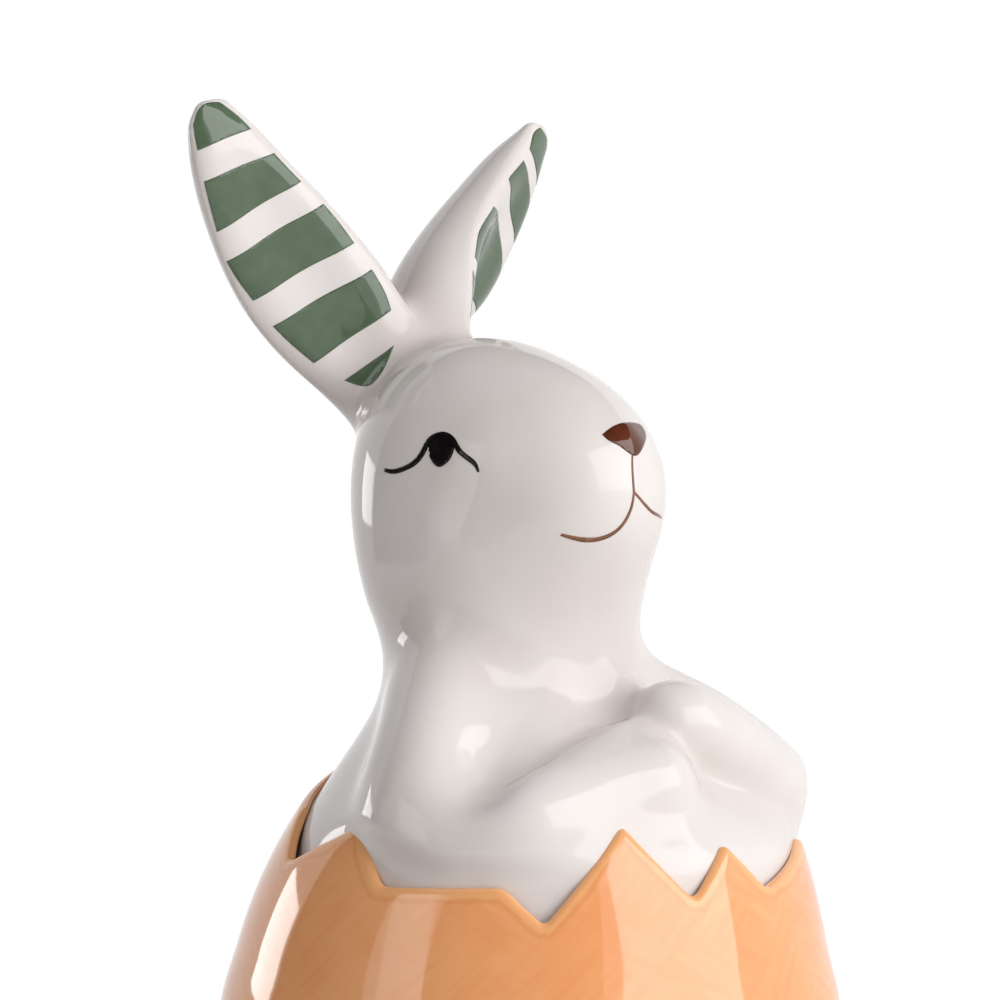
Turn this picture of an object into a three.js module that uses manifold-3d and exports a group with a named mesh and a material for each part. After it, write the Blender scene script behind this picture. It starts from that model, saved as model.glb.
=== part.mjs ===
// A glazed ceramic hare climbing out of a cracked egg: slip-cast pieces luted together, with painted enamel.
// Millimetres, +Z up, foot on z = 0, the hare's chest facing -Y, its right side towards -X.
import * as THREE from "three";
import { mergeVertices } from "three/addons/utils/BufferGeometryUtils.js";
import Module from "manifold-3d";

const wasm = await Module();
wasm.setup();

// Ceramic as it is cast and painted.
const WALL = 4;
const SEAM = 0.3; // joint between two cast pieces
const ENAMEL = 0.5; // thickness of a painted layer
const ENAMEL_LIFT = SEAM / 2; // from the glaze to the underside of the paint

// Egg.
const EGG_RADIUS = 54;
const EGG_WAIST = 52; // height of the widest place
const EGG_CROWN = 78; // from the waist to where the whole egg would have closed
const FOOT_RADIUS = 32;
const FOOT_RING = 6;
const FOOT_RECESS = 1.5;
const VENT_RADIUS = 9; // drain hole in the base
const LEDGE_ABOVE_WAIST = 26; // shelf that carries the torso's skirt
const LEDGE_WIDTH = 3;
const LEDGE_DEPTH = 9;
const RIM_ABOVE_WAIST = 34; // lowest notch of the broken edge
// Corners of the broken edge: degrees from the chest towards the hare's left, height over the lowest notch.
const RIM_CORNERS = [
  [-150, 19], [-124, 12], [-98, 8], [-74, 14], [-67, 5.5], [-40, 5.5], [-32, 0], [-14, 15],
  [0, 4], [12, 10], [22, 3.5], [46, 13], [62, 5], [82, 15], [100, 4], [122, 14],
  [143, 4], [166, 15], [187, 4],
];

// Torso and neck.
const NECK_RADIUS = 21.7;
const NECK_SEAM = EGG_WAIST + 75; // height of the joint between torso and head
const SPIGOT = 7; // how far the torso's neck stands up inside the head
const NECK_BLEND = 18;

// Head, in a frame of its own that is turned and tipped back.
const HEAD_AT = [0, 6.5, NECK_SEAM + 26];
const HEAD_TURN = 10;
const HEAD_TILT = 24;
const CRANIUM = { at: [0, 4.2, 4.9], radius: 23.2 };
const MUZZLE = { at: [0, -17.6, -7.1], radius: 13.8 };
const FACE_BLEND = 15;

// Ears, in the head's frame.
const EAR_STANDS = [0.05, 0.67, 0.74]; // from the middle of the cranium, in its radii
const EAR_REACH = [40, -16.3, 52.2]; // from root to tip
const EAR_FACES = 33; // degrees that the painted side looks outwards
const EAR_HALF_WIDTH = 12;
const EAR_FRONT = 4.6; // from the ear's middle plane to its painted side
const EAR_BACK = 10.4; // to its round back
const EAR_TENON = 14; // length hidden in the head
const EAR_DISH = 3.8;
const STRIPE_INSET = 0.85; // share of the ear's width that is painted
const STRIPE_ROUND = 0.06; // length of the painted leaf's round ends, as a share of the ear
const STRIPE_BLUNT = 0.15; // width left at those ends
const PAINTED = [0.13, 0.975]; // stretch of the ear that carries paint
const STRIPES = [[PAINTED[0], 0.187], [0.27, 0.4], [0.485, 0.615], [0.696, 0.812], [0.89, PAINTED[1]]];

// Arms, from the shoulder over the elbow to the paw.
const ELBOW = 2; // place of the elbow, which hangs over the rim, among an arm's joints
const RIGHT_ARM = [
  { at: [-20, -3, NECK_SEAM - 10], radius: 7 },
  { at: [-27, -9, NECK_SEAM - 17.5], radius: 8.2 },
  { at: [-32, -17.3, EGG_WAIST + 42.5], radius: 9.6 },
  { at: [-9.6, -33, NECK_SEAM - 17.8], radius: 8.6 },
  { at: [-0.4, -34.3, NECK_SEAM - 20], radius: 7.8 },
];
const LEFT_ARM = [
  { at: [20, -3, NECK_SEAM - 11.5], radius: 6.5 },
  { at: [28.5, -10, NECK_SEAM - 18.5], radius: 8.4 },
  { at: [33.2, -17.5, EGG_WAIST + 46.8], radius: 9.7 },
  { at: [12.6, -27.5, NECK_SEAM - 12.5], radius: 7.4 },
];

// Face paint, in the head's frame: the eye from the side (y, z), nose and mouth from the front (x, z).
const PUPIL = { at: [-8.5, 5], across: [2.25, 0.9], up: [-0.3, 2.9] };
const LASH = [
  [3, 6.4], [0.7, 4.9], [-1.4, 4.4], [-3.4, 4.8], [-5.5, 6.4],
  [-8, 8.2], [-10.5, 5.9], [-12.4, 2], [-13.9, -1.2],
];
const LASH_WIDTH = 1;
const NOSE_FOOT = [-1.7, -6.4];
const NOSE = [
  [-5.6, -1.3], [-2.3, 0], [2.1, 0.2], [5.2, -1.1],
  [4.2, -3.2], [0.4, -5.8], NOSE_FOOT, [-4.2, -4.4],
];
const MOUTH_TOP = [NOSE_FOOT[0] - 0.3, NOSE_FOOT[1] - 2 * SEAM];
const MOUTH_FORK = [-3.2, -12.2];
const MOUTH_RIGHT = [[-4.4, -15.9], [-7.3, -17.7], [-10.4, -17.1], [-13.1, -15.6]];
const MOUTH_LEFT = [[-0.6, -14.6], [4.1, -16], [8, -15.6]];
const MOUTH_WIDTH = 0.9;

const COLUMNS = 40; // points round the torso and the head
const EAR_COLUMNS = 24;
const LIMB_COLUMNS = 20;
const RIM_STEPS = 4; // points along each edge of the zig-zag
const PUPIL_POINTS = 16;
const FAR = 60; // a distance outside every form
const NUDGE = 0.01; // step by which a surface's slope is measured

const glaze = (colour) => new THREE.MeshStandardMaterial({ color: colour, roughness: 0.12, metalness: 0 });
const WHITE = glaze("#e9e2df");
const APRICOT = glaze("#e7a170");
const SAGE = glaze("#5a7d5f");
const BLACK = glaze("#15110f");
const BROWN = glaze("#6e371e");

const vector = (list) => new THREE.Vector3(...list);
const radians = THREE.MathUtils.degToRad;

const headPlace = new THREE.Matrix4()
  .makeRotationZ(radians(HEAD_TURN))
  .multiply(new THREE.Matrix4().makeRotationX(-radians(HEAD_TILT)))
  .setPosition(...HEAD_AT);
const headInverse = headPlace.clone().invert();

// A closed surface through rings of equal length: the ends are capped, or joined to each other.
function loft(rings, joined = false) {
  const columns = rings[0].length;
  const points = rings.flat();
  const faces = [];
  const last = joined ? rings.length : rings.length - 1;
  for (let i = 0; i < last; i++) {
    for (let j = 0; j < columns; j++) {
      const a = i * columns + j;
      const b = i * columns + ((j + 1) % columns);
      const c = ((i + 1) % rings.length) * columns + ((j + 1) % columns);
      const d = ((i + 1) % rings.length) * columns + j;
      faces.push(a, b, c, a, c, d);
    }
  }
  if (!joined) {
    cap(points, faces, 0, columns, true);
    cap(points, faces, (rings.length - 1) * columns, columns, false);
  }
  return outward(points, faces);
}

function cap(points, faces, start, columns, turned) {
  const middle = new THREE.Vector3();
  for (let j = 0; j < columns; j++) middle.addScaledVector(points[start + j], 1 / columns);
  const centre = points.push(middle) - 1;
  for (let j = 0; j < columns; j++) {
    const a = start + j;
    const b = start + ((j + 1) % columns);
    faces.push(...(turned ? [b, a, centre] : [a, b, centre]));
  }
}

// Geometry whose faces all look out, whichever way round its rings ran.
function outward(points, faces) {
  let volume = 0;
  const across = new THREE.Vector3();
  for (let i = 0; i < faces.length; i += 3) {
    across.crossVectors(points[faces[i + 1]], points[faces[i + 2]]);
    volume += points[faces[i]].dot(across);
  }
  const geometry = new THREE.BufferGeometry().setFromPoints(points);
  geometry.setIndex(volume < 0 ? [...faces].reverse() : faces);
  return geometry;
}

function solidOf(geometry) {
  const bare = geometry.clone();
  bare.deleteAttribute("normal");
  bare.deleteAttribute("uv");
  const merged = mergeVertices(bare, 1e-4);
  return new wasm.Manifold(
    new wasm.Mesh({
      numProp: 3,
      vertProperties: merged.attributes.position.array,
      triVerts: new Uint32Array(merged.index.array),
    }),
  );
}

function geometryOf(solid) {
  const mesh = solid.getMesh();
  return new THREE.BufferGeometry()
    .setAttribute("position", new THREE.BufferAttribute(mesh.vertProperties, 3))
    .setIndex(new THREE.BufferAttribute(mesh.triVerts, 1));
}

function cut(body, ...tools) {
  return geometryOf(tools.reduce((left, tool) => left.subtract(solidOf(tool)), solidOf(body)));
}

function join(first, ...more) {
  return geometryOf(more.reduce((sum, next) => sum.add(solidOf(next)), solidOf(first)));
}

// A smooth curve through stations [at, value, ...], read at one place.
function between(stations, at, column) {
  const last = stations.length - 1;
  const next = stations.findIndex((station) => station[0] > at);
  const k = next < 0 ? last - 1 : Math.max(next - 1, 0);
  const [a, b] = [stations[k], stations[k + 1]];
  const before = stations[Math.max(k - 1, 0)];
  const after = stations[Math.min(k + 2, last)];
  const span = b[0] - a[0];
  const t = THREE.MathUtils.clamp((at - a[0]) / span, 0, 1);
  const slopeA = ((b[column] - before[column]) / (b[0] - before[0])) * span;
  const slopeB = ((after[column] - a[column]) / (after[0] - a[0])) * span;
  const rise = b[column] - a[column];
  const bend = 3 * rise - 2 * slopeA - slopeB;
  return a[column] + t * slopeA + t * t * bend + t ** 3 * (slopeA + slopeB - 2 * rise);
}

// Egg
// From the waist down to where the whole egg would have closed.
const eggFloor = EGG_WAIST / Math.sqrt(1 - (FOOT_RADIUS / EGG_RADIUS) ** 2);
const ledgeHeight = EGG_WAIST + LEDGE_ABOVE_WAIST;

function eggRadius(z) {
  const reach = z > EGG_WAIST ? EGG_CROWN : eggFloor;
  return EGG_RADIUS * Math.sqrt(1 - ((z - EGG_WAIST) / reach) ** 2);
}

// The broken edge as [angle, height] all the way round, with a few steps along each side of a tooth.
function rimPath() {
  const path = [];
  RIM_CORNERS.forEach(([angle, height], i) => {
    const [nextAngle, nextHeight] = RIM_CORNERS[(i + 1) % RIM_CORNERS.length];
    const turn = THREE.MathUtils.euclideanModulo(nextAngle - angle, 360);
    for (let step = 0; step < RIM_STEPS; step++) {
      const t = step / RIM_STEPS;
      const rise = THREE.MathUtils.lerp(height, nextHeight, t);
      path.push([radians(angle + t * turn), EGG_WAIST + RIM_ABOVE_WAIST + rise]);
    }
  });
  return path;
}

// The shell as rings: up the outside, over the broken edge, down the inside and out through the vent.
function eggShell(grow = 0) {
  const path = rimPath();
  const ring = (place) =>
    path.map(([angle, rim]) => {
      const [radius, z] = place(rim + grow);
      return new THREE.Vector3(radius * Math.sin(angle), -radius * Math.cos(angle), z);
    });
  const outside = (z) => [eggRadius(z) + grow, z];
  const inside = (z) => [eggRadius(z) - WALL - grow, z];
  const floor = FOOT_RECESS + WALL;
  const rings = [];
  for (const share of [0, 0.06, 0.13, 0.21, 0.3, 0.4, 0.5, 0.6, 0.7, 0.79, 0.87, 0.94, 1]) {
    rings.push(ring((rim) => outside(rim * share)));
  }
  for (const share of [1, 0.5, 0]) {
    rings.push(ring((rim) => inside(THREE.MathUtils.lerp(ledgeHeight, rim, share))));
  }
  rings.push(ring(() => [eggRadius(ledgeHeight) - WALL - LEDGE_WIDTH, ledgeHeight]));
  for (const share of [1, 0.75, 0.5, 0.3, 0.15, 0]) {
    rings.push(ring(() => inside(THREE.MathUtils.lerp(floor, ledgeHeight - LEDGE_DEPTH, share))));
  }
  rings.push(ring(() => [VENT_RADIUS, floor]));
  rings.push(ring(() => [VENT_RADIUS, FOOT_RECESS]));
  rings.push(ring(() => [FOOT_RADIUS - FOOT_RING, FOOT_RECESS]));
  rings.push(ring(() => [FOOT_RADIUS - FOOT_RING, 0]));
  return loft(rings, true);
}

// Forms of the hare: how far a point lies outside them.
const skirtRadius = (z) => eggRadius(z) - WALL - SEAM;
const TRUNK = [
  [ledgeHeight, skirtRadius(ledgeHeight), 0],
  [EGG_WAIST + 40, skirtRadius(EGG_WAIST + 40), 0],
  [EGG_WAIST + 48, skirtRadius(EGG_WAIST + 48) - 2, 1],
  [NECK_SEAM - 19, NECK_RADIUS + 8.3, 2.5],
  [NECK_SEAM - 11, NECK_RADIUS + 3.6, 4.2],
  [NECK_SEAM - 3, NECK_RADIUS + 0.7, 5.8],
  [NECK_SEAM + 4, NECK_RADIUS, 7.2],
  [NECK_SEAM + 11, NECK_RADIUS, 7.5],
  [NECK_SEAM + 19, NECK_RADIUS - 2.2, 7.5],
];
const trunkTop = TRUNK[TRUNK.length - 1];

function smoothUnion(a, b, blend) {
  const h = THREE.MathUtils.clamp(0.5 + (b - a) / (2 * blend), 0, 1);
  return THREE.MathUtils.lerp(b, a, h) - blend * h * (1 - h);
}

const ballForm = (point, { at, radius }) => point.distanceTo(vector(at)) - radius;

function trunkForm(point) {
  const over = Math.max(point.z - trunkTop[0], 0);
  const flat = Math.hypot(point.x, point.y - between(TRUNK, point.z, 2));
  return Math.hypot(flat, over) - between(TRUNK, point.z, 1);
}

function headForm(point) {
  const own = point.clone().applyMatrix4(headInverse);
  return smoothUnion(ballForm(own, CRANIUM), ballForm(own, MUZZLE), FACE_BLEND);
}

const bodyForm = (point) => smoothUnion(trunkForm(point), headForm(point), NECK_BLEND);

// The place between start and end where the body form reaches a level.
function meets(start, end, level = 0) {
  let inside = 0;
  let outside = 1;
  for (let i = 0; i < 32; i++) {
    const middle = (inside + outside) / 2;
    if (bodyForm(start.clone().lerp(end, middle)) < level) inside = middle;
    else outside = middle;
  }
  return start.clone().lerp(end, inside);
}

const craniumMiddle = vector(CRANIUM.at).applyMatrix4(headPlace);

// Middle of a level slice: it moves from the neck to the middle of the cranium.
function sliceMiddle(z) {
  const share = THREE.MathUtils.clamp((z - NECK_SEAM) / (craniumMiddle.z - NECK_SEAM), 0, 1);
  const low = new THREE.Vector3(0, between(TRUNK, z, 2), z);
  return low.lerp(new THREE.Vector3(craniumMiddle.x, craniumMiddle.y, z), share);
}

// Level slice of the hare, shrunk into the wall by a depth.
function slice(z, depth = 0) {
  const middle = sliceMiddle(z);
  return Array.from({ length: COLUMNS }, (_, i) => {
    const angle = (2 * Math.PI * i) / COLUMNS;
    const end = new THREE.Vector3(FAR * Math.cos(angle), FAR * Math.sin(angle), 0).add(middle);
    return meets(middle, end, -depth);
  });
}

const steps = (from, to, count) =>
  Array.from({ length: count }, (_, i) => THREE.MathUtils.lerp(from, to, i / (count - 1)));
const level = (ring, z) => ring.map((point) => new THREE.Vector3(point.x, point.y, z));

const spigotTop = NECK_SEAM + SPIGOT;
const skirtFoot = ledgeHeight + SEAM;

function torso() {
  const rings = steps(skirtFoot, NECK_SEAM, 15).map((z) => slice(z));
  rings.push(level(slice(NECK_SEAM, (WALL + SEAM) / 2), NECK_SEAM));
  rings.push(level(slice(NECK_SEAM, (WALL + SEAM) / 2), spigotTop));
  rings.push(level(slice(NECK_SEAM, WALL), spigotTop));
  steps(NECK_SEAM, skirtFoot, 9).forEach((z) => rings.push(slice(z, WALL)));
  return loft(rings, true);
}

// The torso without its hollow and a seam larger, to trim the arms with.
function torsoCutter() {
  return loft(steps(skirtFoot - SEAM, NECK_SEAM, 15).map((z) => slice(z, -SEAM)));
}

// Slices from a height up to the crown, closer together near the top.
function dome(from, depth, count) {
  const top = meets(craniumMiddle, craniumMiddle.clone().setZ(craniumMiddle.z + FAR), -depth).z;
  return Array.from({ length: count }, (_, i) => {
    const share = Math.sin(((i / count) * Math.PI) / 2);
    return slice(THREE.MathUtils.lerp(from, top, share), depth);
  });
}

function headShell() {
  const socketTop = spigotTop + SEAM;
  const foot = NECK_SEAM + SEAM;
  const hollow = dome(socketTop, WALL, 12).reverse();
  const socket = slice(NECK_SEAM, (WALL - SEAM) / 2);
  return loft([...hollow, level(socket, socketTop), level(socket, foot), ...dome(foot, 0, 24)]);
}

// Ears
const earRoot = vector(CRANIUM.at).addScaledVector(vector(EAR_STANDS), CRANIUM.radius);
const earLength = vector(EAR_REACH).length();
const earAlong = vector(EAR_REACH).normalize();
const earOut = new THREE.Vector3(Math.sin(radians(EAR_FACES)), -Math.cos(radians(EAR_FACES)), 0);
earOut.addScaledVector(earAlong, -earOut.dot(earAlong)).normalize();
const earAcross = new THREE.Vector3().crossVectors(earOut, earAlong);
const tenonShare = EAR_TENON / earLength;
// Share of the length, then the outer and the inner width, or the front and the back, as shares of the largest.
const EAR_WIDTHS = [
  [-tenonShare, 0.4, 0.4], [0, 0.53, 0.74], [0.15, 0.76, 1], [0.3, 0.97, 1.03], [0.48, 1.1, 0.93],
  [0.63, 1.04, 0.79], [0.77, 0.86, 0.62], [0.9, 0.57, 0.4], [0.97, 0.32, 0.23], [1, 0.08, 0.08],
];
const EAR_DEPTHS = [
  [-tenonShare, 0.7, 0.25], [0, 0.95, 0.45], [0.15, 0.95, 0.77], [0.32, 0.95, 1],
  [0.5, 0.93, 0.94], [0.75, 0.83, 0.65], [0.9, 0.7, 0.42], [1, 0.2, 0.1],
];

const earHalfWidth = (share, across) => EAR_HALF_WIDTH * between(EAR_WIDTHS, share, across < 0 ? 1 : 2);
const earBack = (share) => EAR_BACK * between(EAR_DEPTHS, share, 2);

// Height of the painted side over the ear's middle plane: a rounded rim with a shallow dish inside it.
function earFront(share, across) {
  const depth = EAR_FRONT * between(EAR_DEPTHS, share, 1);
  const open = THREE.MathUtils.smoothstep(share, 0, 0.2) * (1 - THREE.MathUtils.smoothstep(share, 0.8, 1));
  const dish = EAR_DISH * open * Math.max(0, 1 - (across / STRIPE_INSET) ** 2 / 1.3);
  return depth * Math.sqrt(Math.max(0, 1 - across * across)) - dish;
}

function earPoint(side, share, across, out) {
  const point = earRoot.clone().addScaledVector(earAlong, share * earLength);
  point.addScaledVector(earAcross, across).addScaledVector(earOut, out);
  point.x *= side;
  return point;
}

function earRing(side, share, grow) {
  return Array.from({ length: EAR_COLUMNS }, (_, i) => {
    const angle = (2 * Math.PI * i) / EAR_COLUMNS;
    const across = Math.cos(angle);
    const out = Math.sin(angle) < 0 ? earBack(share) * Math.sin(angle) : earFront(share, across);
    const width = earHalfWidth(share, across) + grow;
    return earPoint(side, share, across * width, out + grow * Math.sin(angle));
  });
}

function earBlank(side, grow = 0) {
  const shares = [...steps(-tenonShare, 0.86, 20), 0.9, 0.94, 0.97, 0.99, 1];
  return loft(shares.map((share) => earRing(side, share, grow)));
}

// A block over the other half of the head and a little of this one.
function otherHalf(side, past) {
  const block = new THREE.BoxGeometry(FAR, 2 * FAR, 4 * FAR);
  block.translate(-side * (FAR / 2 - past), 0, 0);
  return block;
}

// The two ears meet at a seam over one socket.
const ear = (side) => cut(earBlank(side), otherHalf(side, SEAM / 2));
const earSocket = (side) => cut(earBlank(side, SEAM), otherHalf(side, -SEAM)).applyMatrix4(headPlace);

// Arms
function limb(from, to, fromRadius, toRadius) {
  const axis = to.clone().sub(from).normalize();
  const sideways = new THREE.Vector3(0, 0, 1).cross(axis).normalize();
  const upwards = axis.clone().cross(sideways);
  const ring = (middle, radius) =>
    Array.from({ length: LIMB_COLUMNS }, (_, i) => {
      const angle = (2 * Math.PI * i) / LIMB_COLUMNS;
      const point = middle.clone().addScaledVector(sideways, radius * Math.cos(angle));
      return point.addScaledVector(upwards, radius * Math.sin(angle));
    });
  const end = (middle, radius, sign) =>
    [0.08, 0.4, 0.7, 0.92, 1].map((share) => {
      const height = sign * radius * Math.sqrt(1 - share * share);
      return ring(middle.clone().addScaledVector(axis, height), radius * share);
    });
  return loft([...end(from, fromRadius, -1), ...end(to, toRadius, 1).reverse()]);
}

function arm(joints, grow = 0) {
  const bones = joints.slice(1).map((end, i) => {
    const start = joints[i];
    return limb(vector(start.at), vector(end.at), start.radius + grow, end.radius + grow);
  });
  return join(...bones);
}

// Enamel: a thin layer that follows a surface, given as place(a, b, lift).
function patch(outline, place) {
  const edge = outline.map(([a, b]) => new THREE.Vector2(a, b));
  const middle = new THREE.Vector2();
  edge.forEach((point) => middle.addScaledVector(point, 1 / edge.length));
  const ring = (share, lift) =>
    edge.map((point) => {
      const inner = middle.clone().lerp(point, share);
      return place(inner.x, inner.y, lift);
    });
  const shares = [0.12, 0.56, 1];
  const under = shares.map((share) => ring(share, ENAMEL_LIFT));
  const over = shares.map((share) => ring(share, ENAMEL_LIFT + ENAMEL)).reverse();
  return loft([...under, ...over]);
}

function stroke(path, width, place) {
  const curve = new THREE.SplineCurve(path.map(([a, b]) => new THREE.Vector2(a, b)));
  const count = 3 * path.length;
  const rings = steps(0, 1, count).map((t) => {
    const point = curve.getPointAt(t);
    const ahead = curve.getTangentAt(t);
    const half = (width / 2) * Math.min(1, 0.35 + 4 * Math.min(t, 1 - t));
    const sideways = new THREE.Vector2(-ahead.y, ahead.x).multiplyScalar(half);
    const corner = (sign, lift) => place(point.x + sign * sideways.x, point.y + sign * sideways.y, lift);
    const top = ENAMEL_LIFT + ENAMEL;
    return [corner(-1, ENAMEL_LIFT), corner(1, ENAMEL_LIFT), corner(1, top), corner(-1, top)];
  });
  return loft(rings);
}

// A point of the head's surface, met along a straight line in the head's frame, and lifted off it.
function onHead(start, end, lift) {
  const [inner, outer] = [end, start].map((point) => point.applyMatrix4(headPlace));
  const point = meets(inner, outer);
  const normal = new THREE.Vector3();
  for (const axis of ["x", "y", "z"]) {
    const nudged = point.clone();
    nudged[axis] += NUDGE;
    normal[axis] = bodyForm(nudged) - bodyForm(point);
  }
  return point.addScaledVector(normal.normalize(), lift).applyMatrix4(headInverse);
}

const fromFront = (x, z, lift) => onHead(vector([x, -FAR, z]), vector([x, MUZZLE.at[1], z]), lift);
const fromSide = (side) => (y, z, lift) => onHead(vector([side * FAR, y, z]), vector([0, y, z]), lift);

function eye(side) {
  const outline = Array.from({ length: PUPIL_POINTS }, (_, i) => {
    const angle = (2 * Math.PI * i) / PUPIL_POINTS;
    return PUPIL.at.map((at, k) => at + PUPIL.across[k] * Math.cos(angle) + PUPIL.up[k] * Math.sin(angle));
  });
  return join(patch(outline, fromSide(side)), stroke(LASH, LASH_WIDTH, fromSide(side)));
}

function nose() {
  const curve = new THREE.SplineCurve([...NOSE, NOSE[0]].map(([x, z]) => new THREE.Vector2(x, z)));
  const outline = curve.getPoints(2 * NOSE.length).slice(1);
  return patch(outline.map((point) => [point.x, point.y]), fromFront);
}

function mouth() {
  const bar = stroke([MOUTH_TOP, MOUTH_FORK], MOUTH_WIDTH, fromFront);
  const right = stroke([MOUTH_FORK, ...MOUTH_RIGHT], MOUTH_WIDTH, fromFront);
  const left = stroke([MOUTH_FORK, ...MOUTH_LEFT], MOUTH_WIDTH, fromFront);
  return join(bar, right, left);
}

// Share of the ear's width that is painted: a leaf with round ends.
function paintReach(share) {
  const toEnd = Math.min(share - PAINTED[0], PAINTED[1] - share) / STRIPE_ROUND;
  const narrowing = 1 - THREE.MathUtils.clamp(toEnd, 0, 1);
  return STRIPE_INSET * Math.max(STRIPE_BLUNT, Math.sqrt(1 - narrowing ** 2));
}

// One painted band across an ear, with its ends on the rim of the dish.
function stripe(side, [low, high]) {
  const place = (share, part, lift) => {
    const across = part * paintReach(share);
    return earPoint(side, share, across * earHalfWidth(share, across), earFront(share, across) + lift);
  };
  const outline = [
    ...steps(-1, 1, 9).map((part) => [low, part]),
    ...steps(low, high, 6).slice(1, -1).map((share) => [share, 1]),
    ...steps(1, -1, 9).map((part) => [high, part]),
    ...steps(high, low, 6).slice(1, -1).map((share) => [share, -1]),
  ];
  return patch(outline, place);
}

// Scene
const hare = new THREE.Group();
hare.name = "hare_in_egg";
const head = new THREE.Group();
head.applyMatrix4(headPlace);
hare.add(head);

function add(parent, name, geometry, material) {
  geometry.computeVertexNormals();
  const mesh = new THREE.Mesh(geometry, material);
  mesh.name = name;
  parent.add(mesh);
}

const sides = { right: -1, left: 1 };
const trimmers = [torsoCutter(), eggShell(SEAM)];
const rightForearm = arm(RIGHT_ARM.slice(ELBOW), SEAM);
const sockets = Object.values(sides).map(earSocket);

add(hare, "egg_shell", eggShell(), APRICOT);
add(hare, "hare_torso", torso(), WHITE);
add(hare, "hare_head", cut(headShell(), ...sockets), WHITE);
add(hare, "right_arm", cut(arm(RIGHT_ARM), ...trimmers), WHITE);
add(hare, "left_arm", cut(arm(LEFT_ARM), ...trimmers, rightForearm), WHITE);
add(head, "nose_enamel", nose(), BROWN);
add(head, "mouth_enamel", mouth(), BROWN);
for (const [name, side] of Object.entries(sides)) {
  add(head, name + "_ear", ear(side), WHITE);
  add(head, name + "_eye_enamel", eye(side), BLACK);
  STRIPES.forEach((span, i) => add(head, name + "_ear_stripe_" + (i + 1), stripe(side, span), SAGE));
}

export default hare;
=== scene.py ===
import math
from functools import partial

import bpy
import numpy as np
from mathutils import Matrix, Vector
from mathutils.geometry import delaunay_2d_cdt


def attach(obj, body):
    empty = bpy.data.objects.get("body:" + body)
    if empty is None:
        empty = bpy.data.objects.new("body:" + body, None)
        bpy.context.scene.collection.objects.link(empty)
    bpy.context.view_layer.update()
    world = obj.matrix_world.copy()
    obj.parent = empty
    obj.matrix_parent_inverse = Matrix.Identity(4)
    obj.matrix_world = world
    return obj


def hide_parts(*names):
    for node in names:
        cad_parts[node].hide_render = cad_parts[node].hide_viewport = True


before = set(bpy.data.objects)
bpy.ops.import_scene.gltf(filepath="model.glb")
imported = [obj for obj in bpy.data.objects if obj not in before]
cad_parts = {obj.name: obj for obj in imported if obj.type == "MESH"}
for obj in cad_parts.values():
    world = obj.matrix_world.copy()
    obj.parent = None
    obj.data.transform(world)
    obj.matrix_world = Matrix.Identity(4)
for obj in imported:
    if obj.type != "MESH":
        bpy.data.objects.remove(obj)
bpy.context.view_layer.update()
mm = 0.001  # sizes below are in millimetres
print("frame loaded:", len(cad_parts), "nodes")

# camera
shot = {
    "azimuth": -35, "elevation": 2.5, "distance": 700,
    "lookHeight": 152, "axisPixel": 530, "pixelSize": 0.171,  # of the egg's axis in the picture
    "picture": 1000, "sensor": 36,
}


def shotAxes():
    turned, raised = math.radians(shot["azimuth"]), math.radians(shot["elevation"])
    right = Vector((math.cos(turned), math.sin(turned), 0))
    level = math.cos(raised)
    ahead = Vector((-math.sin(turned) * level, math.cos(turned) * level, -math.sin(raised)))
    return right, right.cross(ahead), ahead


def addObject(name, data):
    thing = bpy.data.objects.new(name, data)
    bpy.context.scene.collection.objects.link(thing)
    return thing


def makeCamera():
    right, up, ahead = shotAxes()
    offAxis = (shot["picture"] / 2 - shot["axisPixel"]) * shot["pixelSize"]
    place = Vector((0, 0, shot["lookHeight"])) + right * offAxis - ahead * shot["distance"]
    data = bpy.data.cameras.new("shotCamera")
    data.sensor_width = shot["sensor"]
    data.lens = shot["sensor"] * shot["distance"] / shot["pixelSize"] / shot["picture"]
    camera = addObject("shotCamera", data)
    camera.matrix_world = Matrix((right, up, -ahead)).transposed().to_4x4()
    camera.location = place * mm
    bpy.context.scene.camera = camera


makeCamera()
print("camera set")


# node helpers for materials and geometry
def fill(tree, socket, value):
    if isinstance(value, bpy.types.NodeSocket):
        tree.links.new(value, socket)
    else:
        socket.default_value = value


def addNode(tree, kind, *values, **settings):
    node = tree.nodes.new(kind)
    for name, value in settings.items():
        setattr(node, name, value)
    for socket, value in zip(node.inputs, values):
        if value is not None:
            fill(tree, socket, value)
    return node


def calc(tree, operation, *values):
    return addNode(tree, "ShaderNodeMath", *values, operation=operation).outputs[0]


def ramp(tree, value, low, high, lowOut=0.0, highOut=1.0):  # smooth step between two values
    node = addNode(tree, "ShaderNodeMapRange", value, low, high, lowOut, highOut,
                   interpolation_type="SMOOTHSTEP")
    return node.outputs[0]


def mixColour(tree, share, first, second, mode="MIX"):
    node = addNode(tree, "ShaderNodeMix", data_type="RGBA", blend_type=mode)
    fill(tree, node.inputs["Factor"], share)
    fill(tree, node.inputs[6], first)
    fill(tree, node.inputs[7], second)
    return node.outputs[2]


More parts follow.
